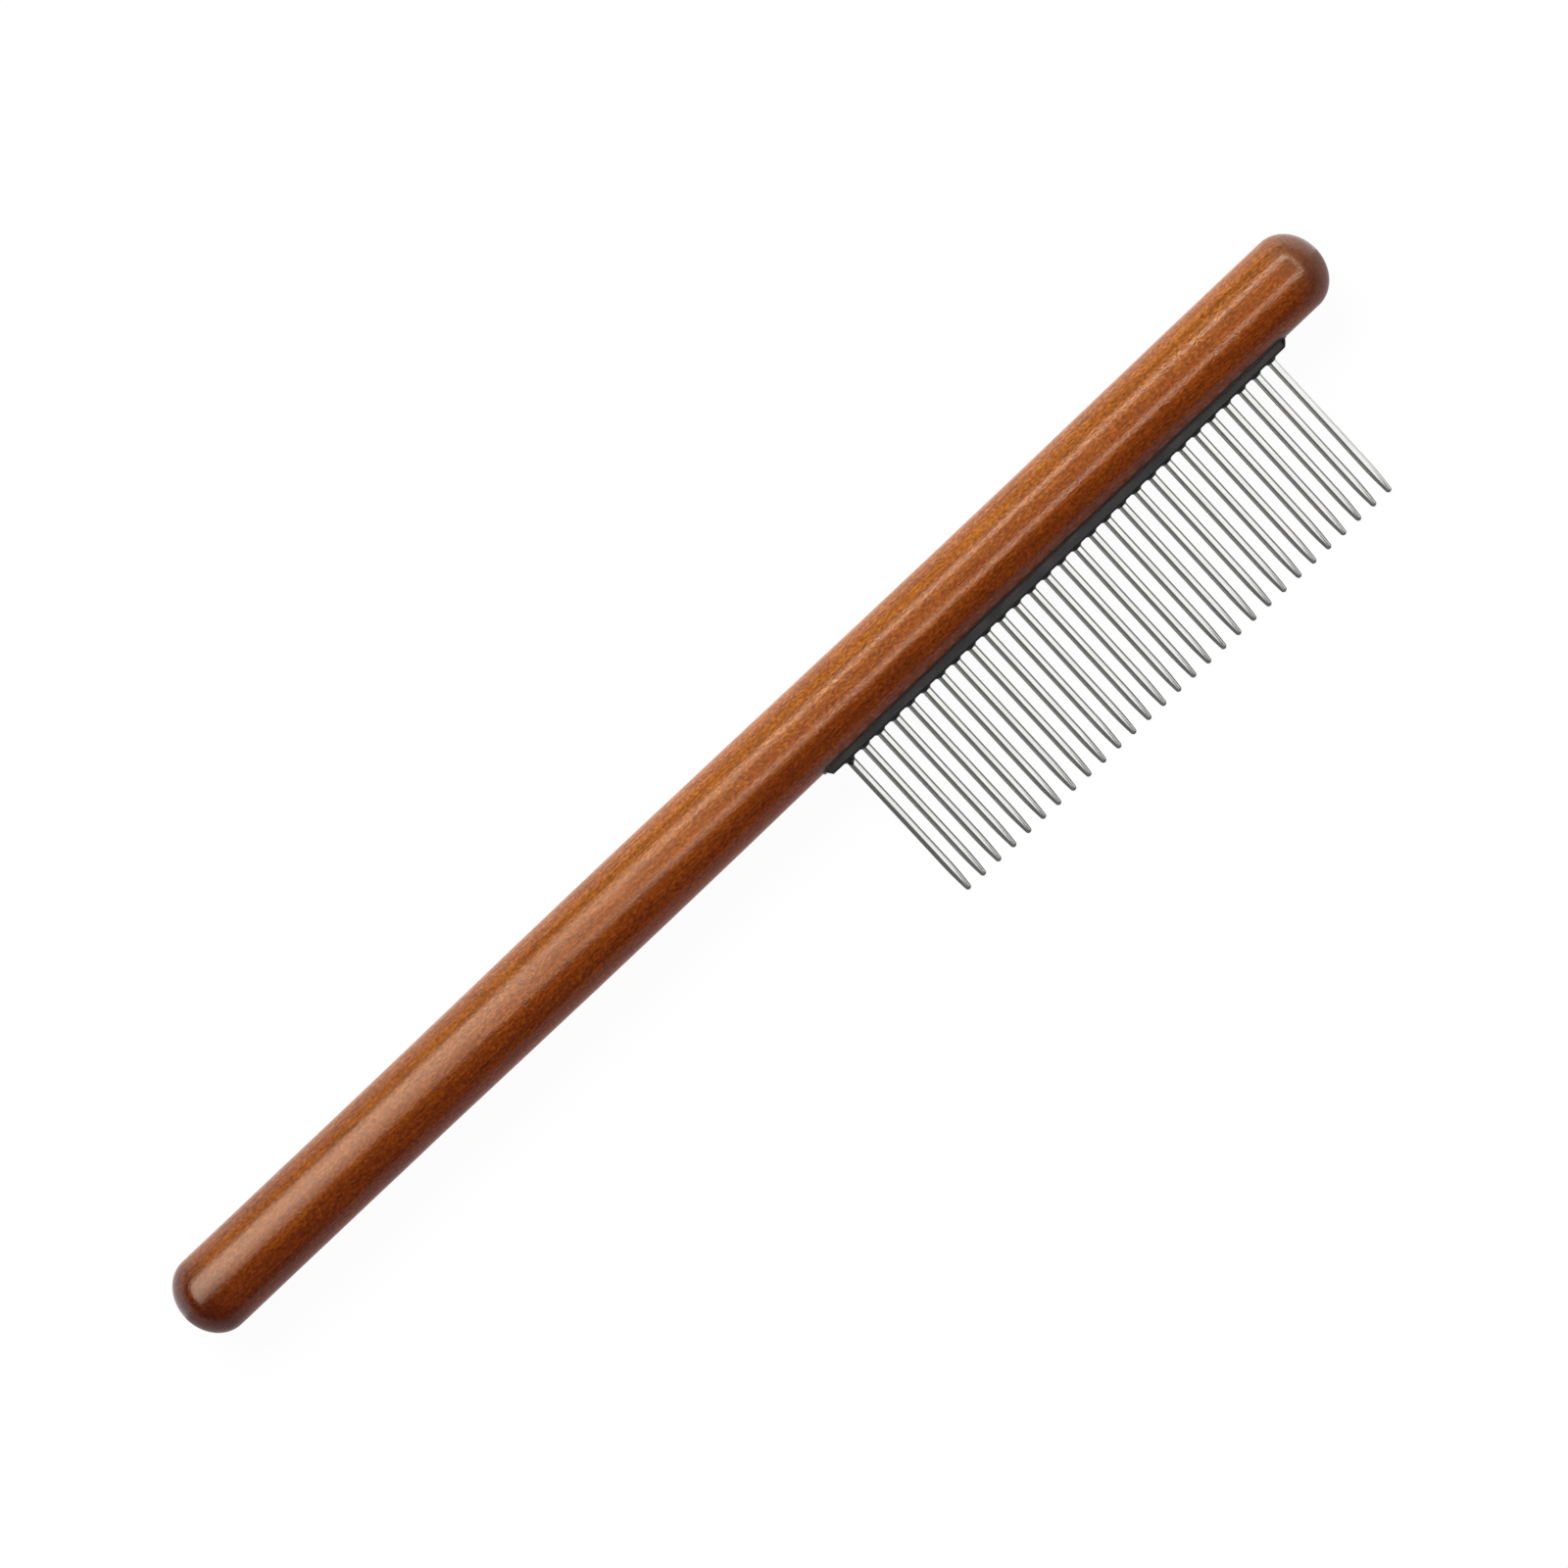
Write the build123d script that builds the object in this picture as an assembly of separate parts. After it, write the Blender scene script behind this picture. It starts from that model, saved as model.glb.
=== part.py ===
"""Wood-handled grooming comb: turned handle, moulded pin strip and 29 steel pins, in millimetres.

The comb is modelled straight first: the handle's axis is X, measured from its butt end, the pins
point along -Y, and Z is the comb's thickness. REST then lays it down on a table, where the handle's
swell and the pin tips touch Z = 0 together.
"""
from build123d import *
import math
import os

os.makedirs("parts", exist_ok=True)

# Turned handle
HANDLE_LENGTH = 225.5
DOME_LENGTH = 5.3
END_RADIUS = 6.27
SWELL_RADIUS = 6.45
WAIST_RADIUS = 6.12
GRIP_END_X = 40.0
SWELL_X = 85.0
WAIST_X = 161.0
HEAD_START_X = 212.0
QUARTER_FULLNESS = 0.5523

# Pin row
PIN_COUNT = 29
PIN_PITCH = 3.0
ROW_CENTRE_X = 167.6

# Pins, whose drops are distances from the handle's axis
PIN_RADIUS = 0.7
TIP_RADIUS = 0.47
TIP_DROP = 33.75
TAPER_LENGTH = 5.7
HEAD_RADIUS = 1.0
HEAD_THICKNESS = 0.6
PIN_CLEARANCE = 0.015

# Pin strip, whose drops are distances from the handle's axis
STRIP_WIDTH = 5.2
STRIP_LENGTH = 91.8
STRIP_CENTRE_X = 167.6
STRIP_BACK_DROP = 1.2
STRIP_FACE_DROP_MIDDLE = 7.28
STRIP_FACE_DROP_END = 7.0
STRIP_END_DROP = 5.95
BUTT_END_RUN = 0.75
HEAD_END_RUN = 1.15
BUTT_CORNER_RADIUS = 0.5
HEAD_CORNER_RADIUS = 1.7
STRIP_EDGE_RADIUS = 0.35
COLLAR_ROOT = 0.3
COLLAR_REACH = 0.4
COLLAR_DEPTH = 0.58
COLLAR_RADIUS = 0.9
COLLAR_LIP = 0.08
FOOT_WALL = 0.1
FOOT_DEPTH_BUTT_SIDE = 0.45
FOOT_DEPTH_POINT = 1.3
FOOT_DEPTH_HEAD_SIDE = 0.55
FOOT_POINT_OFFSET = -0.26

# Adhesive round the strip in the milled slot
GLUE_WALL = 0.15
GLUE_FLOOR = 0.2
GLUE_RECESS = 0.06
GLUE_GAP = 0.01
SLOT_DROP = STRIP_BACK_DROP - GLUE_FLOOR
BEYOND_HANDLE_DROP = 8.0

# How the comb lies on a table
REST_ANGLE = math.degrees(math.asin((SWELL_RADIUS - TIP_RADIUS) / (TIP_DROP - TIP_RADIUS)))
TIP_REACH = (TIP_DROP - TIP_RADIUS) * math.cos(math.radians(REST_ANGLE)) + TIP_RADIUS
REST_SHIFT_Y = (TIP_REACH - SWELL_RADIUS) / 2
REST = Pos(-HANDLE_LENGTH / 2, REST_SHIFT_Y, SWELL_RADIUS) * Rot(REST_ANGLE, 0, 0)


def pin_x(index):
    """Place along the handle of a pin, counted from 0 at the butt side."""
    return ROW_CENTRE_X + (index - (PIN_COUNT - 1) / 2) * PIN_PITCH


def dome(tip_x, base_x, radius):
    """Quarter-ellipse outline of a rounded handle end, from its tip to its base."""
    full_x = tip_x + (base_x - tip_x) * (1 - QUARTER_FULLNESS)
    return Bezier((tip_x, 0), (tip_x, radius * QUARTER_FULLNESS), (full_x, radius), (base_x, radius))


def turned_blank(inset=0.0):
    """The handle before its slot is milled, or the same shape with its surface set in."""
    end_radius = END_RADIUS - inset
    grip_end = (GRIP_END_X, end_radius)
    swell = (SWELL_X, SWELL_RADIUS - inset)
    waist = (WAIST_X, WAIST_RADIUS - inset)
    head_start = (HEAD_START_X, end_radius)
    head_x = HANDLE_LENGTH - DOME_LENGTH
    level = ((1, 0), (1, 0))
    outline = make_face(
        [
            dome(0, DOME_LENGTH, end_radius),
            Line((DOME_LENGTH, end_radius), grip_end),
            Spline(grip_end, swell, tangents=level),
            Spline(swell, waist, tangents=level),
            Spline(waist, head_start, tangents=level),
            Line(head_start, (head_x, end_radius)),
            dome(HANDLE_LENGTH, head_x, end_radius),
            Line((HANDLE_LENGTH, 0), (0, 0)),
        ]
    )
    return revolve(outline, Axis.X)


def bar(grow, from_drop, to_drop):
    """The strip's plan grown on all sides, as a bar between two distances from the handle's axis."""
    plan = Rectangle(STRIP_LENGTH + 2 * grow, STRIP_WIDTH + 2 * grow)
    plan = fillet(plan.vertices().group_by(Axis.X)[0], BUTT_CORNER_RADIUS + grow)
    plan = fillet(plan.vertices().group_by(Axis.X)[-1], HEAD_CORNER_RADIUS + grow)
    return extrude(Plane.XZ.offset(from_drop) * Pos(STRIP_CENTRE_X, 0) * plan, amount=to_drop - from_drop)


def handle():
    """Turned wood handle with the milled slot for the pin strip."""
    return turned_blank() - bar(GLUE_WALL, SLOT_DROP, BEYOND_HANDLE_DROP)


def glue_bed():
    """Adhesive between the slot and the strip, finished just under the wood's surface."""
    fill = bar(GLUE_WALL - GLUE_GAP, SLOT_DROP + GLUE_GAP, BEYOND_HANDLE_DROP)
    strip_room = bar(GLUE_GAP, STRIP_BACK_DROP - GLUE_GAP, BEYOND_HANDLE_DROP)
    return (fill - strip_room) & turned_blank(GLUE_RECESS)


def strip_bar():
    """The strip's bar: bowed face, sloped ends and rounded lower edges."""
    butt_x = STRIP_CENTRE_X - STRIP_LENGTH / 2
    head_x = STRIP_CENTRE_X + STRIP_LENGTH / 2
    back = Line((head_x, -STRIP_BACK_DROP), (butt_x, -STRIP_BACK_DROP))
    butt_side = Line((butt_x, -STRIP_BACK_DROP), (butt_x, -STRIP_END_DROP))
    butt_slope = Line((butt_x, -STRIP_END_DROP), (butt_x + BUTT_END_RUN, -STRIP_FACE_DROP_END))
    face = ThreePointArc(
        (butt_x + BUTT_END_RUN, -STRIP_FACE_DROP_END),
        (STRIP_CENTRE_X, -STRIP_FACE_DROP_MIDDLE),
        (head_x - HEAD_END_RUN, -STRIP_FACE_DROP_END),
    )
    head_slope = Line((head_x - HEAD_END_RUN, -STRIP_FACE_DROP_END), (head_x, -STRIP_END_DROP))
    head_side = Line((head_x, -STRIP_END_DROP), (head_x, -STRIP_BACK_DROP))
    side_view = make_face([back, butt_side, butt_slope, face, head_slope, head_side])
    shaped = bar(0, STRIP_BACK_DROP, BEYOND_HANDLE_DROP) & extrude(side_view, STRIP_WIDTH / 2, both=True)
    lower_face = shaped.faces().sort_by(Axis.Y)[0]
    return fillet(lower_face.edges(), STRIP_EDGE_RADIUS)


def face_drop(x):
    """Distance of the strip's bowed face from the handle's axis at a place along it."""
    half_span = (STRIP_LENGTH - BUTT_END_RUN - HEAD_END_RUN) / 2
    from_middle = (x - STRIP_CENTRE_X) / half_span
    bow = STRIP_FACE_DROP_MIDDLE - STRIP_FACE_DROP_END
    return STRIP_FACE_DROP_MIDDLE - bow * from_middle**2


def root_collar(x):
    """Moulded hollow cone that runs from the strip's face on to a pin."""
    drop = face_drop(x)
    inside = drop - COLLAR_ROOT
    neck = PIN_RADIUS + COLLAR_LIP
    foot = neck + COLLAR_REACH
    curve = RadiusArc((x + foot, -drop), (x + neck, -drop - COLLAR_DEPTH), COLLAR_RADIUS)
    straight = Polyline(
        (x + neck, -drop - COLLAR_DEPTH),
        (x, -drop - COLLAR_DEPTH),
        (x, -inside),
        (x + foot, -inside),
        (x + foot, -drop),
    )
    return revolve(make_face([curve, straight]), Axis((x, 0, 0), (0, -1, 0)))


def first_pin_foot():
    """Foot that runs down the first pin to a point, nearer its butt side."""
    x = pin_x(0)
    radius = PIN_RADIUS + FOOT_WALL
    inside = face_drop(x) - COLLAR_ROOT
    side_view = Polyline(
        (x - radius, -inside),
        (x + radius, -inside),
        (x + radius, -face_drop(x) - FOOT_DEPTH_HEAD_SIDE),
        (x + FOOT_POINT_OFFSET, -face_drop(x) - FOOT_DEPTH_POINT),
        (x - radius, -face_drop(x) - FOOT_DEPTH_BUTT_SIDE),
        close=True,
    )
    sleeve = Plane.XZ.offset(inside) * Pos(x, 0) * Circle(radius)
    return extrude(sleeve, amount=BEYOND_HANDLE_DROP) & extrude(make_face(side_view), radius, both=True)


def pin_room(x):
    """Stepped hole for one pin: a shank bore with a head recess at the strip's back."""
    bore = Plane.XZ * Pos(x, 0) * Circle(PIN_RADIUS + PIN_CLEARANCE)
    recess = Plane.XZ * Pos(x, 0) * Circle(HEAD_RADIUS + PIN_CLEARANCE)
    shank_room = extrude(bore, amount=STRIP_FACE_DROP_MIDDLE + 2 * FOOT_DEPTH_POINT)
    return shank_room + extrude(recess, amount=STRIP_BACK_DROP + HEAD_THICKNESS + PIN_CLEARANCE)


def pin_strip():
    """Moulded bar that carries the pins, with a collar at each root."""
    places = [pin_x(index) for index in range(PIN_COUNT)]
    strip = strip_bar() + [root_collar(x) for x in places] + first_pin_foot()
    return strip - [pin_room(x) for x in places]


def pin(x):
    """Steel pin with an upset head, a straight shank, a tapering point and a round tip."""
    taper_start = TIP_DROP - TAPER_LENGTH
    tip_start = TIP_DROP - TIP_RADIUS
    taper = TangentArc((x + PIN_RADIUS, -taper_start), (x + TIP_RADIUS, -tip_start), tangent=(0, -1))
    tip = RadiusArc((x + TIP_RADIUS, -tip_start), (x, -TIP_DROP), TIP_RADIUS)
    body = Polyline(
        (x, -TIP_DROP),
        (x, -STRIP_BACK_DROP),
        (x + HEAD_RADIUS, -STRIP_BACK_DROP),
        (x + HEAD_RADIUS, -STRIP_BACK_DROP - HEAD_THICKNESS),
        (x + PIN_RADIUS, -STRIP_BACK_DROP - HEAD_THICKNESS),
        (x + PIN_RADIUS, -taper_start),
    )
    return revolve(make_face([body, taper, tip]), Axis((x, 0, 0), (0, -1, 0)))


def write_node(name, shape):
    """Lay one piece down with the comb and write it as the node's STEP file."""
    export_step(REST * shape, f"parts/{name}.step")


write_node("handle", handle())
write_node("glue_bed", glue_bed())
write_node("pin_strip", pin_strip())
for index in range(PIN_COUNT):
    write_node(f"pin_{index + 1:02d}", pin(pin_x(index)))
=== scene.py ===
"""Looks for the wood-handled grooming comb: lacquered wood, moulded strip, drawn steel pins, studio."""
import math

import bmesh
import bpy
from mathutils import Matrix, Vector, noise


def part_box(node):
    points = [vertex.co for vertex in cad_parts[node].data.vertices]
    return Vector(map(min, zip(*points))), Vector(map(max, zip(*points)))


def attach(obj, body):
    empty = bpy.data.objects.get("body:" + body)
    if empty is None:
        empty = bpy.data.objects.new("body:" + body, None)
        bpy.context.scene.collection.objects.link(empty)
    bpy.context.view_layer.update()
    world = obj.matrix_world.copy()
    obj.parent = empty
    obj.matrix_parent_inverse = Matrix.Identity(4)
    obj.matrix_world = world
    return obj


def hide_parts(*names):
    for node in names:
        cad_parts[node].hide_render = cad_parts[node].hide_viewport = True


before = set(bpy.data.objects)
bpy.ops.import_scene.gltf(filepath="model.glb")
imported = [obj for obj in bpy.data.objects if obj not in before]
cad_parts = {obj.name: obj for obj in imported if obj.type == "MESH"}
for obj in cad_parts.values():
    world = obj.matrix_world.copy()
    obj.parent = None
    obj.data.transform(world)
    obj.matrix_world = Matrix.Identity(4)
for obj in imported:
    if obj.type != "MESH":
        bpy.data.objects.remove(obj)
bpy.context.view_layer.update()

MM = 0.001
PIN_NAMES = sorted(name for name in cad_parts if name.startswith("pin_") and name != "pin_strip")

# The handle, read from the frame: X is its axis
handle_low, handle_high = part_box("handle")
BUTT_X, HEAD_X = handle_low.x, handle_high.x
AXIS_Y = (handle_low.y + handle_high.y) / 2
AXIS_Z = (handle_low.z + handle_high.z) / 2
AXIS = Vector((0, AXIS_Y, AXIS_Z))
SWELL_RADIUS = (handle_high.z - handle_low.z) / 2

# The handle's other driving sizes, along its axis from the butt end
DOME_LENGTH = 5.3 * MM
END_RADIUS = 6.27 * MM
WAIST_RADIUS = 6.12 * MM
GRIP_END = 40.0 * MM
SWELL = 85.0 * MM
WAIST = 161.0 * MM
HEAD_START = 212.0 * MM

# Slot for the pin strip
GLUE_GAP = 0.01 * MM
GLUE_WALL = 0.15 * MM
SLOT_WIDTH = 5.5 * MM
SLOT_DROP = 1.0 * MM
BEYOND_HANDLE_DROP = 9.0 * MM
BUTT_CORNER_RADIUS = 0.65 * MM
HEAD_CORNER_RADIUS = 1.85 * MM

# Pins, whose drops are distances from the handle's axis
PIN_RADIUS = 0.7 * MM
TIP_RADIUS = 0.47 * MM
TIP_DROP = 33.75 * MM
TAPER_LENGTH = 5.7 * MM
PIN_HEAD_RADIUS = 1.0 * MM
PIN_HEAD_THICKNESS = 0.6 * MM
STRIP_BACK_DROP = 1.2 * MM
STRIP_FACE_DROP = 7.2 * MM

# The comb lies on its handle and its pin tips, so the pins slope down to the table
REST_ANGLE = math.asin((SWELL_RADIUS - TIP_RADIUS) / (TIP_DROP - TIP_RADIUS))
PIN_WAY = Vector((0, -math.cos(REST_ANGLE), -math.sin(REST_ANGLE)))
PIN_SIDE = Vector((0, -math.sin(REST_ANGLE), math.cos(REST_ANGLE)))

# Camera, square to the comb, with the handle rising to the upper right
HANDLE_ANGLE = math.radians(43.4)
CAMERA_DISTANCE = 1.6
FIELD_WIDTH = 227.2 * MM
SENSOR_WIDTH = 36.0
AIM = Vector((3.44 * MM, AXIS_Y - 3.38 * MM, AXIS_Z))


# ---------------------------------------------------------------- node helpers
def new_material(name):
    """A material with only a Principled shader and its output."""
    material = bpy.data.materials.new(name)
    material.use_nodes = True
    tree = material.node_tree
    tree.nodes.clear()
    output = tree.nodes.new("ShaderNodeOutputMaterial")
    shader = tree.nodes.new("ShaderNodeBsdfPrincipled")
    tree.links.new(shader.outputs["BSDF"], output.inputs["Surface"])
    return material, tree, shader


def node(tree, kind, settings=None, **inputs):
    """Adds a node. Settings are its own values; inputs are numbers or other nodes' outputs."""
    made = tree.nodes.new(kind)
    for key, value in (settings or {}).items():
        setattr(made, key, value)
    for key, value in inputs.items():
        socket = made.inputs[key.replace("_", " ")]
        if isinstance(value, bpy.types.NodeSocket):
            tree.links.new(value, socket)
        else:
            socket.default_value = value
    return made


def calculate(tree, operation, *values):
    """A maths node of numbers or other nodes' outputs."""
    made = tree.nodes.new("ShaderNodeMath")
    made.operation = operation
    for socket, value in zip(made.inputs, values):
        if isinstance(value, bpy.types.NodeSocket):
            tree.links.new(value, socket)
        else:
            socket.default_value = value
    return made.outputs[0]


def ramp(tree, factor, stops, interpolation="LINEAR"):
    """Colour ramp with (place, colour) stops; a colour is a grey number or an RGB triple."""
    made = tree.nodes.new("ShaderNodeValToRGB")
    made.color_ramp.interpolation = interpolation
    elements = made.color_ramp.elements
    while len(elements) < len(stops):
        elements.new(0.5)
    for element, (place, colour) in zip(elements, stops):
        grey = isinstance(colour, (int, float))
        element.position = place
        element.color = (colour, colour, colour, 1) if grey else (*colour, 1)
    tree.links.new(factor, made.inputs["Fac"])
    return made.outputs["Color"]


def mix(tree, blend, factor, first, second):
    """Mixes two colours."""
    made = tree.nodes.new("ShaderNodeMix")
    made.data_type = "RGBA"
    made.blend_type = blend
    for name, value in (("Factor", factor), ("A", first), ("B", second)):
        socket = next(s for s in made.inputs if s.name == name and s.enabled)
        if isinstance(value, bpy.types.NodeSocket):
            tree.links.new(value, socket)
        elif name == "Factor":
            socket.default_value = value
        else:
            socket.default_value = (*value, 1)
    return next(s for s in made.outputs if s.enabled)


def spread(tree, value, low, high):
    """Maps a value from low..high to 0..1."""
    made = node(tree, "ShaderNodeMapRange", None, Value=value, From_Min=low, From_Max=high)
    return made.outputs["Result"]


def stretched(tree, scale, location=(0, 0, 0)):
    """Object coordinates in metres, scaled per axis, for patterns that run along the handle."""
    place = tree.nodes.new("ShaderNodeTexCoord")
    mapping = node(tree, "ShaderNodeMapping", None, Vector=place.outputs["Object"])
    mapping.inputs["Scale"].default_value = scale
    mapping.inputs["Location"].default_value = location
    return mapping.outputs["Vector"]


def place_along(tree, direction):
    """Distance in metres from the origin along a direction."""
    place = tree.nodes.new("ShaderNodeTexCoord")
    made = tree.nodes.new("ShaderNodeVectorMath")
    made.operation = "DOT_PRODUCT"
    tree.links.new(place.outputs["Object"], made.inputs[0])
    made.inputs[1].default_value = direction
    return made.outputs["Value"]


def noise_value(tree, vector, scale, detail=3.0, roughness=0.55, distortion=0.0):
    """Fractal noise about 0.5, with its scale in waves per metre."""
    made = node(tree, "ShaderNodeTexNoise", None, Vector=vector, Scale=scale, Detail=detail,
                Roughness=roughness, Distortion=distortion)
    return made.outputs["Fac"]


# ---------------------------------------------------------------- materials
def ring_value(tree):
    """Growth rings: bands by distance from a pith outside the handle, wandering a little along it."""
    from_pith = stretched(tree, (0, 1, 1), (0, 14 * MM - AXIS_Y, -34 * MM - AXIS_Z))
    length = tree.nodes.new("ShaderNodeVectorMath")
    length.operation = "LENGTH"
    tree.links.new(from_pith, length.inputs[0])
    wander = noise_value(tree, stretched(tree, (0.12, 1, 1), (0.31, 0.2, 0.1)), 110, detail=2)
    distance = calculate(tree, "MULTIPLY_ADD", wander, 3.2 * MM, length.outputs["Value"])
    bands = node(tree, "ShaderNodeTexNoise", {"noise_dimensions": "1D"}, W=distance, Scale=950.0,
                 Detail=4.0, Roughness=0.6)
    return bands.outputs["Fac"]


def wood_material():
    """Stained reddish hardwood under clear lacquer: rings, fibres, pores, dark ends, orange peel."""
    material, tree, shader = new_material("lacquered_wood")
    fibres = noise_value(tree, stretched(tree, (0.035, 1, 1)), 2600, detail=4, roughness=0.62)
    fleck_place = stretched(tree, (0.5, 1, 1), (0.7, 0.1, 0.3))
    fleck = noise_value(tree, fleck_place, 3100, detail=2, roughness=0.6)
    mottle = noise_value(tree, stretched(tree, (0.22, 1, 1), (0.5, 0.3, 0.1)), 420, distortion=0.8)
    grain = calculate(tree, "MULTIPLY", ring_value(tree), 0.16)
    grain = calculate(tree, "MULTIPLY_ADD", fibres, 0.20, grain)
    grain = calculate(tree, "MULTIPLY_ADD", fleck, 0.54, grain)
    grain = calculate(tree, "MULTIPLY_ADD", mottle, 0.10, grain)
    colour = ramp(tree, grain, [(0.40, (0.235, 0.045, 0.0018)), (0.5, (0.405, 0.092, 0.0032)),
                                (0.60, (0.630, 0.172, 0.009))])

    # Painted light over the handle's round: paler and greyer towards +Y, a painted reflection of the
    # table along the lit top, and darker and redder towards the pins, painted shade on the side turned
    # from the key light
    toward_key_light = spread(tree, place_along(tree, (0, 1, 0)), AXIS_Y - END_RADIUS, AXIS_Y + END_RADIUS)
    toward_key_light = calculate(tree, "MULTIPLY_ADD", mottle, 0.16, toward_key_light)
    painted_side_light = ramp(tree, toward_key_light, [(0.14, (0.80, 0.52, 0.34)), (0.34, (0.96, 0.70, 0.49)),
                                    (0.60, (0.98, 0.90, 0.9)), (0.86, (0.90, 1.06, 1.6))])
    colour = mix(tree, "MULTIPLY", 1.0, colour, painted_side_light)

    # Redder towards the butt, and dark end grain where the staining soaked in, deepened on both domes
    # as painted shade where they turn away from the lights
    along = place_along(tree, (1, 0, 0))
    soak = noise_value(tree, stretched(tree, (0.5, 1, 1), (0.2, 0.7, 0.4)), 380, detail=3)
    ragged = calculate(tree, "MULTIPLY_ADD", soak, 2.4 * MM, along)
    butt_half = spread(tree, along, BUTT_X, BUTT_X + 105 * MM)
    butt_tint = ramp(tree, butt_half, [(0.0, (0.66, 0.57, 0.53)), (1.0, 1.0)])
    colour = mix(tree, "MULTIPLY", 1.0, colour, butt_tint)
    end_grain_and_shade = [(0.0, (0.42, 0.30, 0.30)), (0.55, (0.62, 0.50, 0.50)), (1.0, 1.0)]
    butt_end_and_shade = spread(tree, ragged, BUTT_X + 1.2 * MM, BUTT_X + 9.5 * MM)
    colour = mix(tree, "MULTIPLY", 1.0, colour, ramp(tree, butt_end_and_shade, end_grain_and_shade))
    head_end_and_shade = spread(tree, ragged, HEAD_X - 6.5 * MM, HEAD_X - 1.5 * MM)
    colour = mix(tree, "MIX", calculate(tree, "MULTIPLY", head_end_and_shade, 0.75), colour, (0.21, 0.085, 0.050))

    # Adhesive rubbed into the wood beside the strip, and over it painted shade and a painted
    # reflection: a dark grey band where the strip hides the table
    down = calculate(tree, "MULTIPLY_ADD", soak, 0.9 * MM, place_along(tree, PIN_WAY))
    axis_down = AXIS.dot(PIN_WAY)
    seam_band = spread(tree, down, axis_down + 5.1 * MM, axis_down + 5.7 * MM)
    strip_low, strip_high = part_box("pin_strip")
    beside = calculate(tree, "MULTIPLY", spread(tree, along, strip_low.x - 1.5 * MM, strip_low.x),
                       spread(tree, along, strip_high.x + 1.5 * MM, strip_high.x))
    glue_stain_and_shade = calculate(tree, "MULTIPLY", seam_band, beside)
    colour = mix(tree, "MIX", calculate(tree, "MULTIPLY", glue_stain_and_shade, 0.95), colour, (0.105, 0.078, 0.070))

    # Open pores, short dark dashes along the grain
    pores = noise_value(tree, stretched(tree, (0.11, 1, 1), (0.1, 0.6, 0.8)), 3800, detail=1)
    pores = ramp(tree, pores, [(0.60, 1.0), (0.70, 0.66)])
    colour = mix(tree, "MULTIPLY", 1.0, colour, pores)
    tree.links.new(colour, shader.inputs["Base Color"])

    rough = ramp(tree, fibres, [(0.3, 0.62), (0.7, 0.5)])
    tree.links.new(rough, shader.inputs["Roughness"])
    shader.inputs["Specular IOR Level"].default_value = 0.0
    shader.inputs["Coat Weight"].default_value = 0.62
    shader.inputs["Coat Roughness"].default_value = 0.11
    shader.inputs["Coat IOR"].default_value = 1.5
    peel = noise_value(tree, stretched(tree, (1, 1, 1)), 4600, detail=1, roughness=0.5)
    height = calculate(tree, "MULTIPLY_ADD", fibres, 0.1, peel)
    bump = node(tree, "ShaderNodeBump", None, Height=height, Strength=0.9, Distance=0.000036)
    tree.links.new(bump.outputs["Normal"], shader.inputs["Normal"])
    tree.links.new(bump.outputs["Normal"], shader.inputs["Coat Normal"])
    return material


def steel_material():
    """Drawn stainless wire, polished, with faint lines along each pin."""
    material, tree, shader = new_material("polished_steel")
    lines = noise_value(tree, stretched(tree, (1, 0.02, 0.12)), 5200, detail=2)
    cloud = noise_value(tree, stretched(tree, (1, 0.3, 1)), 420, detail=2)
    colour = ramp(tree, lines, [(0.3, (0.64, 0.635, 0.61)), (0.7, (0.74, 0.735, 0.71))])
    colour = mix(tree, "MULTIPLY", 1.0, colour, ramp(tree, cloud, [(0.3, 0.94), (0.7, 1.04)]))
    tree.links.new(colour, shader.inputs["Base Color"])
    shader.inputs["Metallic"].default_value = 1.0
    tree.links.new(ramp(tree, cloud, [(0.3, 0.13), (0.7, 0.19)]), shader.inputs["Roughness"])
    bump = node(tree, "ShaderNodeBump", None, Height=lines, Strength=0.25, Distance=0.00001)
    tree.links.new(bump.outputs["Normal"], shader.inputs["Normal"])
    return material


def plastic_material():
    """Moulded near-black plastic with a faint blue-grey cast, scuffed paler in places."""
    material, tree, shader = new_material("strip_plastic")
    cloud = noise_value(tree, stretched(tree, (0.4, 1, 1)), 700, detail=4)
    fine = noise_value(tree, stretched(tree, (1, 1, 1)), 6500, detail=2)
    colour = ramp(tree, cloud, [(0.3, (0.007, 0.010, 0.011)), (0.7, (0.022, 0.029, 0.031))])
    colour = mix(tree, "MULTIPLY", 1.0, colour, ramp(tree, fine, [(0.3, 0.8), (0.7, 1.2)]))
    tree.links.new(colour, shader.inputs["Base Color"])
    tree.links.new(ramp(tree, cloud, [(0.3, 0.30), (0.7, 0.45)]), shader.inputs["Roughness"])
    shader.inputs["Specular IOR Level"].default_value = 0.25
    bump = node(tree, "ShaderNodeBump", None, Height=fine, Strength=0.4, Distance=0.00002)
    tree.links.new(bump.outputs["Normal"], shader.inputs["Normal"])
    return material


def glue_material():
    """Cured dark adhesive, browner at the butt end of the strip where it is mixed with wood dust."""
    material, tree, shader = new_material("dark_adhesive")
    cloud = noise_value(tree, stretched(tree, (0.5, 1, 1)), 1300, detail=3)
    colour = ramp(tree, cloud, [(0.3, (0.008, 0.007, 0.008)), (0.7, (0.040, 0.030, 0.028))])
    strip_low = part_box("pin_strip")[0]
    along = calculate(tree, "MULTIPLY_ADD", cloud, 0.5 * MM, place_along(tree, (1, 0, 0)))
    dusty = spread(tree, along, strip_low.x + 0.6 * MM, strip_low.x + 0.3 * MM)
    colour = mix(tree, "MIX", dusty, colour, (0.23, 0.12, 0.085))
    tree.links.new(colour, shader.inputs["Base Color"])
    tree.links.new(ramp(tree, cloud, [(0.3, 0.24), (0.7, 0.42)]), shader.inputs["Roughness"])
    bump = node(tree, "ShaderNodeBump", None, Height=cloud, Strength=0.6, Distance=0.00006)
    tree.links.new(bump.outputs["Normal"], shader.inputs["Normal"])
    return material


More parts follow.
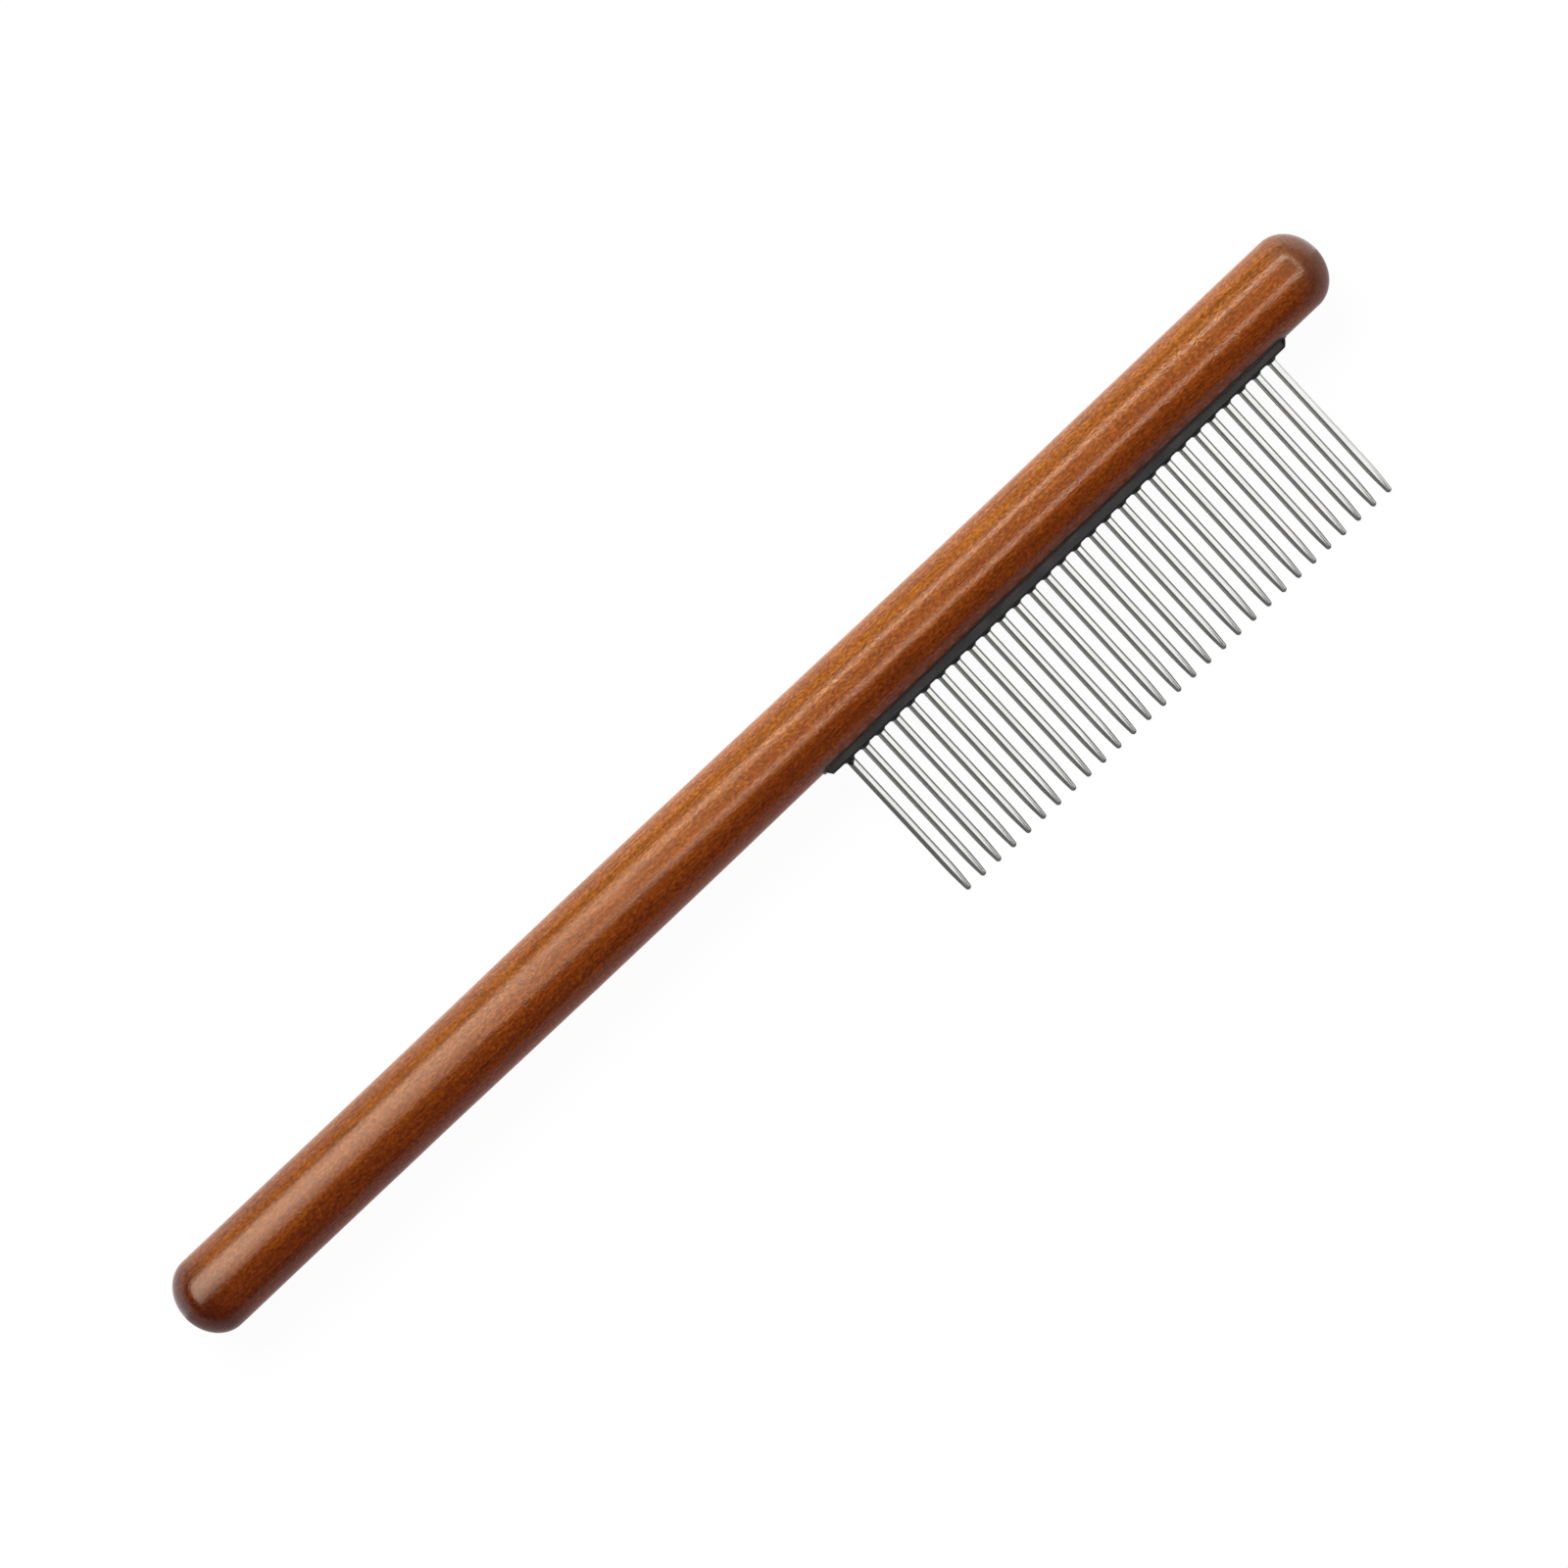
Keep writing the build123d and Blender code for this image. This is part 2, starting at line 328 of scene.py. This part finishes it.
def floor_material():
    """Plain white board, lit evenly from below as a product table is."""
    material, tree, shader = new_material("pale_floor")
    cloud = noise_value(tree, stretched(tree, (1, 1, 1)), 3, detail=2)
    tree.links.new(ramp(tree, cloud, [(0.2, 0.065), (0.8, 0.075)]), shader.inputs["Base Color"])
    shader.inputs["Roughness"].default_value = 0.9
    shader.inputs["Specular IOR Level"].default_value = 0.0
    shader.inputs["Emission Color"].default_value = (1, 1, 1, 1)
    shader.inputs["Emission Strength"].default_value = 0.965
    return material


def backdrop_material():
    """Even pale light beyond the floor."""
    material = bpy.data.materials.new("pale_backdrop")
    material.use_nodes = True
    tree = material.node_tree
    tree.nodes.clear()
    output = tree.nodes.new("ShaderNodeOutputMaterial")
    glow = node(tree, "ShaderNodeEmission", None, Strength=1.0)
    tree.links.new(glow.outputs["Emission"], output.inputs["Surface"])
    return material


# ---------------------------------------------------------------- pieces
def make_piece(name, points, faces, material, slot, *nodes):
    """A smooth-shaded mesh piece that stands for CAD nodes."""
    mesh = bpy.data.meshes.new(name)
    mesh.from_pydata(points, [], faces)
    mesh.materials.append(material)
    mesh.shade_smooth()
    piece = bpy.data.objects.new(name, mesh)
    bpy.context.scene.collection.objects.link(piece)
    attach(piece, "root")
    if nodes:
        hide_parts(*nodes)
    return piece


def face_outwards(piece):
    """Turns every face of a closed piece to face out."""
    mesh = bmesh.new()
    mesh.from_mesh(piece.data)
    bmesh.ops.recalc_face_normals(mesh, faces=mesh.faces)
    mesh.to_mesh(piece.data)
    mesh.free()


def tube_faces(rings, around, closed=False):
    """Quads between rings of points, open at both ends or closed on itself."""
    faces = []
    for ring in range(rings if closed else rings - 1):
        start, following = ring * around, (ring + 1) % rings * around
        for step in range(around):
            nearby = (step + 1) % around
            faces.append((start + step, start + nearby, following + nearby, following + step))
    return faces


def end_fans(first_point, last_point, last_ring, around, first_ring=0):
    """Triangles that close a tube at both ends, to a point at each."""
    faces = []
    for step in range(around):
        nearby = (step + 1) % around
        faces.append((first_point, first_ring + nearby, first_ring + step))
        faces.append((last_point, last_ring + step, last_ring + nearby))
    return faces


def radius_at(along):
    """Radius of the handle at a distance from its butt end."""
    stations = [(GRIP_END, END_RADIUS), (SWELL, SWELL_RADIUS),
                (WAIST, WAIST_RADIUS), (HEAD_START, END_RADIUS)]
    from_end = min(along, HEAD_X - BUTT_X - along)
    if from_end < DOME_LENGTH:
        inside = 1 - from_end / DOME_LENGTH
        return END_RADIUS * math.sqrt(max(0.0, 1 - inside * inside))
    for (start, start_radius), (end, end_radius) in zip(stations, stations[1:]):
        if start < along < end:
            t = (along - start) / (end - start)
            return start_radius + (end_radius - start_radius) * t * t * (3 - 2 * t)
    return END_RADIUS


def handle_stations():
    """Distances from the butt end at which the handle's rings lie, closer together on the domes."""
    length = HEAD_X - BUTT_X
    dome_steps, body_steps = 22, 300
    dome = [DOME_LENGTH * (1 - math.cos(math.pi / 2 * i / dome_steps)) for i in range(1, dome_steps)]
    body = [DOME_LENGTH + (length - 2 * DOME_LENGTH) * i / body_steps for i in range(body_steps + 1)]
    return dome + body + [length - along for along in reversed(dome)]


def rounded_outline(box, grow, half_width, butt_radius, head_radius, corner_steps):
    """((x, side), outward way) round a rectangle as long as a box, with rounded corners."""
    low, high = box
    half_length = (high.x - low.x) / 2 + grow
    centre_x = (high.x + low.x) / 2
    corners = [(1, 1, head_radius, 0), (-1, 1, butt_radius, 90),
               (-1, -1, butt_radius, 180), (1, -1, head_radius, 270)]
    outline = []
    for x_way, side_way, radius, first in corners:
        for step in range(corner_steps + 1):
            angle = math.radians(first + 90 * step / corner_steps)
            way = Vector((math.cos(angle), math.sin(angle)))
            x = x_way * (half_length - radius) + radius * way.x
            side = side_way * (half_width - radius) + radius * way.y
            outline.append((Vector((centre_x + x, side)), way))
    return outline


def in_slot_frame(x, drop, side):
    """Point at x along the handle, at a drop from its axis the way the pins point, and to one side."""
    return Vector((x, 0, 0)) + AXIS + PIN_WAY * drop + PIN_SIDE * side


def slot_cutter():
    """A closed bar the size of the milled slot, with its rounded corners."""
    outline = rounded_outline(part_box("glue_bed"), GLUE_GAP, SLOT_WIDTH / 2, BUTT_CORNER_RADIUS,
                              HEAD_CORNER_RADIUS, 8)
    mesh = bmesh.new()
    near = [mesh.verts.new(in_slot_frame(x, SLOT_DROP, side)) for (x, side), _ in outline]
    far = [mesh.verts.new(in_slot_frame(x, BEYOND_HANDLE_DROP, side)) for (x, side), _ in outline]
    mesh.faces.new(near)
    mesh.faces.new(list(reversed(far)))
    for i in range(len(outline)):
        j = (i + 1) % len(outline)
        mesh.faces.new((near[j], near[i], far[i], far[j]))
    bmesh.ops.recalc_face_normals(mesh, faces=mesh.faces)
    data = bpy.data.meshes.new("slot_cutter")
    mesh.to_mesh(data)
    mesh.free()
    return bpy.data.objects.new("slot_cutter", data)


def wood_handle(material):
    """Turned handle with the faint unevenness of hand sanding, and the slot cut into it."""
    around = 128
    stations = handle_stations()
    points = [Vector((BUTT_X, 0, 0)) + AXIS]
    for along in stations:
        turned_radius = radius_at(along)
        for step in range(around):
            angle = 2 * math.pi * step / around
            way = Vector((0, math.cos(angle), math.sin(angle)))
            uneven = noise.noise(Vector((along * 90, way.y * 1.1, way.z * 1.1 + 7)))
            fine = noise.noise(Vector((along * 420, way.y * 2.4 + 3, way.z * 2.4)))
            sanded = (0.018 * (1 + uneven) + 0.004 * (1 + fine)) * MM
            radius = turned_radius - sanded * turned_radius / END_RADIUS
            points.append(Vector((BUTT_X + along, 0, 0)) + AXIS + way * radius)
    points.append(Vector((HEAD_X, 0, 0)) + AXIS)
    faces = [tuple(i + 1 for i in face) for face in tube_faces(len(stations), around)]
    last = len(points) - 1
    faces += end_fans(0, last, last - around, around, first_ring=1)
    piece = make_piece("wood_handle", points, faces, material, "handle_wood", "handle")
    face_outwards(piece)

    cutter = slot_cutter()
    bpy.context.scene.collection.objects.link(cutter)
    cut = piece.modifiers.new("slot", "BOOLEAN")
    cut.operation = "DIFFERENCE"
    cut.solver = "EXACT"
    cut.object = cutter
    bpy.context.view_layer.update()
    ready = piece.evaluated_get(bpy.context.evaluated_depsgraph_get())
    mesh = bpy.data.meshes.new_from_object(ready)
    piece.modifiers.clear()
    piece.data = mesh
    bpy.data.objects.remove(cutter)
    mesh.shade_smooth()
    mesh.set_sharp_from_angle(angle=math.radians(35))
    return piece


def pin_profile():
    """(drop, radius) pairs from a pin's upset head to its round tip."""
    back = STRIP_BACK_DROP
    profile = [(back, PIN_HEAD_RADIUS * 0.9), (back + 0.08 * MM, PIN_HEAD_RADIUS)]
    profile += [(back + PIN_HEAD_THICKNESS, PIN_HEAD_RADIUS), (back + PIN_HEAD_THICKNESS, PIN_RADIUS)]
    taper_start, tip_start = TIP_DROP - TAPER_LENGTH, TIP_DROP - TIP_RADIUS
    shank_steps, taper_steps, tip_steps = 14, 10, 8
    shank_start = back + PIN_HEAD_THICKNESS
    for i in range(1, shank_steps + 1):
        profile.append((shank_start + (taper_start - shank_start) * i / shank_steps, PIN_RADIUS))
    for i in range(1, taper_steps + 1):
        t = i / taper_steps
        drop = taper_start + (tip_start - taper_start) * t
        profile.append((drop, PIN_RADIUS - (PIN_RADIUS - TIP_RADIUS) * t * t))
    for i in range(1, tip_steps):
        angle = math.pi / 2 * i / tip_steps
        profile.append((tip_start + TIP_RADIUS * math.sin(angle), TIP_RADIUS * math.cos(angle)))
    return profile


def steel_pin(index, material):
    """One pin, a little out of true: it leans, bends slightly and is ground to its own length."""
    around = 32
    node_name = PIN_NAMES[index]
    low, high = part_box(node_name)
    root = Vector(((low.x + high.x) / 2, 0, 0)) + AXIS
    middle = (len(PIN_NAMES) - 1) / 2
    from_middle = (index - middle) / middle
    uneven = noise.noise(Vector((index * 1.7, 0.3, 0)))
    lean = (-0.22 + 0.12 * max(0.0, from_middle) + 0.07 * uneven) * MM
    bend = 0.05 * noise.noise(Vector((index * 1.3, 5.3, 0))) * MM
    shorter = (0.12 * from_middle**2 + 0.03 + 0.06 * noise.noise(Vector((index * 2.1, 9.1, 0)))) * MM
    profile = pin_profile()
    points = []
    for drop, radius in profile:
        free = max(0.0, (drop - STRIP_FACE_DROP) / (TIP_DROP - STRIP_FACE_DROP))
        centre = root + PIN_WAY * (drop - shorter * free**2)
        centre.x += lean * free + bend * math.sin(math.pi * free)
        for step in range(around):
            angle = 2 * math.pi * step / around
            way = Vector((1, 0, 0)) * math.cos(angle) + PIN_SIDE * math.sin(angle)
            points.append(centre + radius * way)
    points.append(root + PIN_WAY * STRIP_BACK_DROP)
    points.append(root + PIN_WAY * (TIP_DROP - shorter) + Vector((lean, 0, 0)))
    faces = tube_faces(len(profile), around)
    faces += end_fans(len(points) - 2, len(points) - 1, (len(profile) - 1) * around, around)
    piece = make_piece(f"steel_{node_name}", points, faces, material, "pin_steel", node_name)
    face_outwards(piece)
    piece.data.set_sharp_from_angle(angle=math.radians(40))
    return piece


def seam_points(step_length=0.35 * MM):
    """Points round the line where the strip meets the wood, with the outward way at each."""
    outline = rounded_outline(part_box("pin_strip"), 0, SLOT_WIDTH / 2 - GLUE_WALL,
                              BUTT_CORNER_RADIUS - GLUE_WALL, HEAD_CORNER_RADIUS - GLUE_WALL, 6)
    found = []
    for (start, start_way), (end, end_way) in zip(outline, outline[1:] + outline[:1]):
        steps = max(1, round((end - start).length / step_length))
        for i in range(steps):
            t = i / steps
            found.append((start.lerp(end, t), start_way.lerp(end_way, t).normalized()))
    return found


def glue_bead(material):
    """Squeezed-out adhesive along the seam: a fine uneven bead, heaviest at the strip's ends."""
    around = 10
    low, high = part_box("pin_strip")
    seam = seam_points()
    points = []
    for place, way in seam:
        x, side = place
        wood_radius = radius_at(x - BUTT_X)
        drop = math.sqrt(wood_radius**2 - side**2)
        run = noise.noise(Vector((x * 700, side * 300, 1.5)))
        fine = noise.noise(Vector((x * 2600, side * 900, 4.5)))
        size = 0.11 + 0.06 * run + 0.03 * fine
        if side > 0:
            near_head = max(0.0, 1 - abs(x - (high.x - 6.5 * MM)) / (7.5 * MM))
            size += 0.12 * near_head * (0.7 + run)
        size += 0.20 * max(0.0, 1 - (x - low.x) / (0.9 * MM))
        size = max(0.05, size) * MM
        away = Vector((way.x, 0, 0)) + PIN_SIDE * way.y
        centre = in_slot_frame(x, drop - 0.02 * MM, side) + away * 0.03 * MM
        for step in range(around):
            angle = 2 * math.pi * step / around
            points.append(centre + size * (away * math.cos(angle) + PIN_WAY * math.sin(angle)))
    faces = tube_faces(len(seam), around, closed=True)
    piece = make_piece("glue_bead", points, faces, material, "adhesive")
    face_outwards(piece)
    return piece


# ---------------------------------------------------------------- studio
# The key, the floor and the world shade the comb. All the other lights show only in reflections, and
# each is linked to one group of pieces, so the highlights on wood, strip and pins are set apart.
WHITE = (1.0, 1.0, 1.0)
WARM = (1.0, 0.82, 0.62)
FAINTLY_WARM = (1.0, 0.90, 0.87)


def collection_of(name, pieces):
    """A collection that lights can be aimed at."""
    made = bpy.data.collections.new(name)
    for piece in pieces:
        made.objects.link(piece)
    return made


def add_light(name, size, radiance, glossy, diffuse, receivers=None, colour=WHITE):
    """A rectangular light of an even radiance, for reflections or for shading."""
    data = bpy.data.lights.new(name, "AREA")
    data.shape = "RECTANGLE"
    data.size, data.size_y = size
    data.energy = radiance * math.pi * size[0] * size[1]
    data.color = colour
    light = bpy.data.objects.new(name, data)
    light.visible_glossy = glossy
    light.visible_diffuse = diffuse
    light.visible_camera = False
    bpy.context.scene.collection.objects.link(light)
    if receivers:
        light.light_linking.receiver_collection = receivers
    return light


def tilted_light(name, degrees, distance, size, radiance):
    """Soft light that leans from straight up to +Y and faces the comb. It shades but isn't mirrored."""
    light = add_light(name, size, radiance, glossy=False, diffuse=True)
    angle = math.radians(degrees)
    toward = Vector((0, math.sin(angle), math.cos(angle)))
    side = Vector((1, 0, 0))
    rotation = Matrix((side, toward.cross(side), toward)).transposed().to_4x4()
    light.matrix_world = Matrix.Translation(AIM + toward * distance) @ rotation


# Places of the lights that the comb mirrors: metres along it, and degrees from straight up towards +Y
PANEL_HEIGHT = 0.35
BUTT_SKY_END = -0.62
SHEEN_END = -0.05
FRAME_END = 0.42
SKY_END = 0.6
SKY_ANGLE = 61
LOW_SKY_ANGLE = 78
SLATS = 6
SLAT_START = 2
SLAT_PITCH = 9.5
SLAT_WIDTH = 4.5
TABLE_REACH = 1.5
JUST_ABOVE_TABLE = 0.02 * MM


def mirrored_panel(name, receivers, x_from, x_to, angle_from, angle_to, radiance, colour=WHITE):
    """Level panel over the comb, seen only in reflections. Its angles lean from straight up to +Y."""
    y_from, y_to = (PANEL_HEIGHT * math.tan(math.radians(angle)) for angle in (angle_from, angle_to))
    light = add_light(name, (x_to - x_from, y_to - y_from), radiance, True, False, receivers, colour)
    light.location = (
        (x_from + x_to) / 2,
        AXIS_Y + (y_from + y_to) / 2,
        AXIS_Z + PANEL_HEIGHT,
    )


def mirrored_diagonal(name, receivers, start, end, width, radiance):
    """Level bar over the comb between two (x, angle) places, seen only in reflections."""
    first = Vector((start[0], PANEL_HEIGHT * math.tan(math.radians(start[1])), 0))
    last = Vector((end[0], PANEL_HEIGHT * math.tan(math.radians(end[1])), 0))
    run = last - first
    light = add_light(name, (run.length, width), radiance, True, False, receivers, WARM)
    light.location = (first + last) / 2 + AXIS + Vector((0, 0, PANEL_HEIGHT))
    light.rotation_euler = (0, 0, math.atan2(run.y, run.x))


def floor_glow(name, receivers, x_range, y_range, radiance):
    """Part of the white table as the comb mirrors it: a panel just above the floor that faces up."""
    size = (x_range[1] - x_range[0], y_range[1] - y_range[0])
    light = add_light(name, size, radiance, True, False, receivers)
    light.location = (sum(x_range) / 2, sum(y_range) / 2, JUST_ABOVE_TABLE)
    light.rotation_euler = (math.pi, 0, 0)


def make_floor(material):
    """Plain table top. The comb mirrors the floor glow lights in place of it."""
    mesh = bpy.data.meshes.new("floor")
    half = 4.0
    corners = [(-half, -half, 0), (half, -half, 0), (half, half, 0), (-half, half, 0)]
    mesh.from_pydata(corners, [], [(0, 1, 2, 3)])
    mesh.materials.append(material)
    floor = bpy.data.objects.new("floor", mesh)
    floor.visible_glossy = False
    bpy.context.scene.collection.objects.link(floor)


def make_backdrop(material):
    """Pale round wall, far off, that only the camera sees."""
    mesh = bpy.data.meshes.new("backdrop")
    form = bmesh.new()
    bmesh.ops.create_uvsphere(form, u_segments=48, v_segments=24, radius=5.5)
    form.to_mesh(mesh)
    form.free()
    mesh.materials.append(material)
    backdrop = bpy.data.objects.new("backdrop", mesh)
    backdrop.visible_diffuse = False
    backdrop.visible_glossy = False
    backdrop.visible_transmission = False
    backdrop.visible_shadow = False
    bpy.context.scene.collection.objects.link(backdrop)


def make_world():
    """Dim even light from all round."""
    world = bpy.data.worlds.new("studio")
    bpy.context.scene.world = world
    world.use_nodes = True
    background = world.node_tree.nodes["Background"]
    background.inputs["Color"].default_value = (1, 1, 1, 1)
    background.inputs["Strength"].default_value = 0.16


def make_camera():
    """Camera straight over the comb, turned about its own view."""
    data = bpy.data.cameras.new("camera")
    data.sensor_width = SENSOR_WIDTH
    data.lens = SENSOR_WIDTH * CAMERA_DISTANCE / FIELD_WIDTH
    data.clip_end = 50
    camera = bpy.data.objects.new("camera", data)
    camera.location = AIM + Vector((0, 0, CAMERA_DISTANCE))
    camera.rotation_euler = (0, 0, -HANDLE_ANGLE)
    bpy.context.scene.collection.objects.link(camera)
    bpy.context.scene.camera = camera


# ---------------------------------------------------------------- build
wood, steel, plastic, glue = wood_material(), steel_material(), plastic_material(), glue_material()
wooden = wood_handle(wood)
pins = [steel_pin(index, steel) for index in range(len(PIN_NAMES))]
bead = glue_bead(glue)
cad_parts["pin_strip"].data.materials[0] = plastic
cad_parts["glue_bed"].data.materials[0] = glue

make_camera()
make_world()
make_floor(floor_material())
make_backdrop(backdrop_material())

dark_pieces = [bead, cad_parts["pin_strip"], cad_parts["glue_bed"]]
body_side = collection_of("body_side", [wooden, *dark_pieces])
wood_side = collection_of("wood_side", [wooden])
strip_side = collection_of("strip_side", dark_pieces)
pin_side = collection_of("pin_side", pins)

tilted_light("key", 49, 0.7, (0.8, 0.5), 4.15)
table_x = (-TABLE_REACH, TABLE_REACH)
floor_glow("floor_glow_far", body_side, table_x, (AXIS_Y, AXIS_Y + TABLE_REACH), 1.3)
floor_glow("floor_glow_near", body_side, table_x, (AXIS_Y - TABLE_REACH, AXIS_Y), 0.5)

# Two bright bars and their cross bar, mirrored as fine lines along the head half of the handle
mirrored_panel("upper_bar", wood_side, -0.03, FRAME_END, 44, 48.5, 26.0, WARM)
mirrored_panel("lower_bar", wood_side, 0.03, FRAME_END, -18, -13, 19.0, WARM)
mirrored_panel("cross_bar", wood_side, FRAME_END - 0.05, FRAME_END, -15, 47, 13.0, WARM)
mirrored_diagonal("slanted_bar", wood_side, (SHEEN_END, -2), (0.036, -15), 0.03, 15.0)
mirrored_panel("soft_sky", wood_side, SHEEN_END, SKY_END, -10, SKY_ANGLE, 1.0, WARM)
mirrored_panel("low_sky", wood_side, BUTT_SKY_END, SKY_END, SKY_ANGLE, LOW_SKY_ANGLE, 1.2, WARM)

# Slats over two broad panels, mirrored as the wide sheen on the butt half
mirrored_panel("lower_sheen", wood_side, BUTT_SKY_END, SHEEN_END, -1, 18, 5.0, WARM)
mirrored_panel("upper_sheen", wood_side, BUTT_SKY_END, SHEEN_END, 18, SKY_ANGLE, 9.5, WARM)
for slat in range(SLATS):
    start_angle = SLAT_START + SLAT_PITCH * slat
    end_angle = start_angle + SLAT_WIDTH
    mirrored_panel(f"slat_{slat}", wood_side, BUTT_SKY_END, -0.02, start_angle, end_angle, 14.0, WARM)

# The strip's own dim panel
mirrored_panel("strip_panel", strip_side, SHEEN_END, FRAME_END, -24, -12, 6.0, FAINTLY_WARM)

# The pins' own panels, over their far side and beyond the head end
mirrored_panel("pin_panel", pin_side, -0.06, 1.0, -34, -8, 1.2)
pin_wall = add_light("pin_wall", (0.25, 0.6), 0.8, True, False, pin_side)
pin_wall.location = (0.45, 0, 0.12)
pin_wall.rotation_euler = (0, math.radians(90), 0)
beyond_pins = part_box(PIN_NAMES[-1])[1].x + 1.15 * MM
floor_glow("pin_table", pin_side, (beyond_pins, 0.5), (-0.3, 0.3), 0.75)

bpy.context.scene.view_settings.view_transform = "Standard"
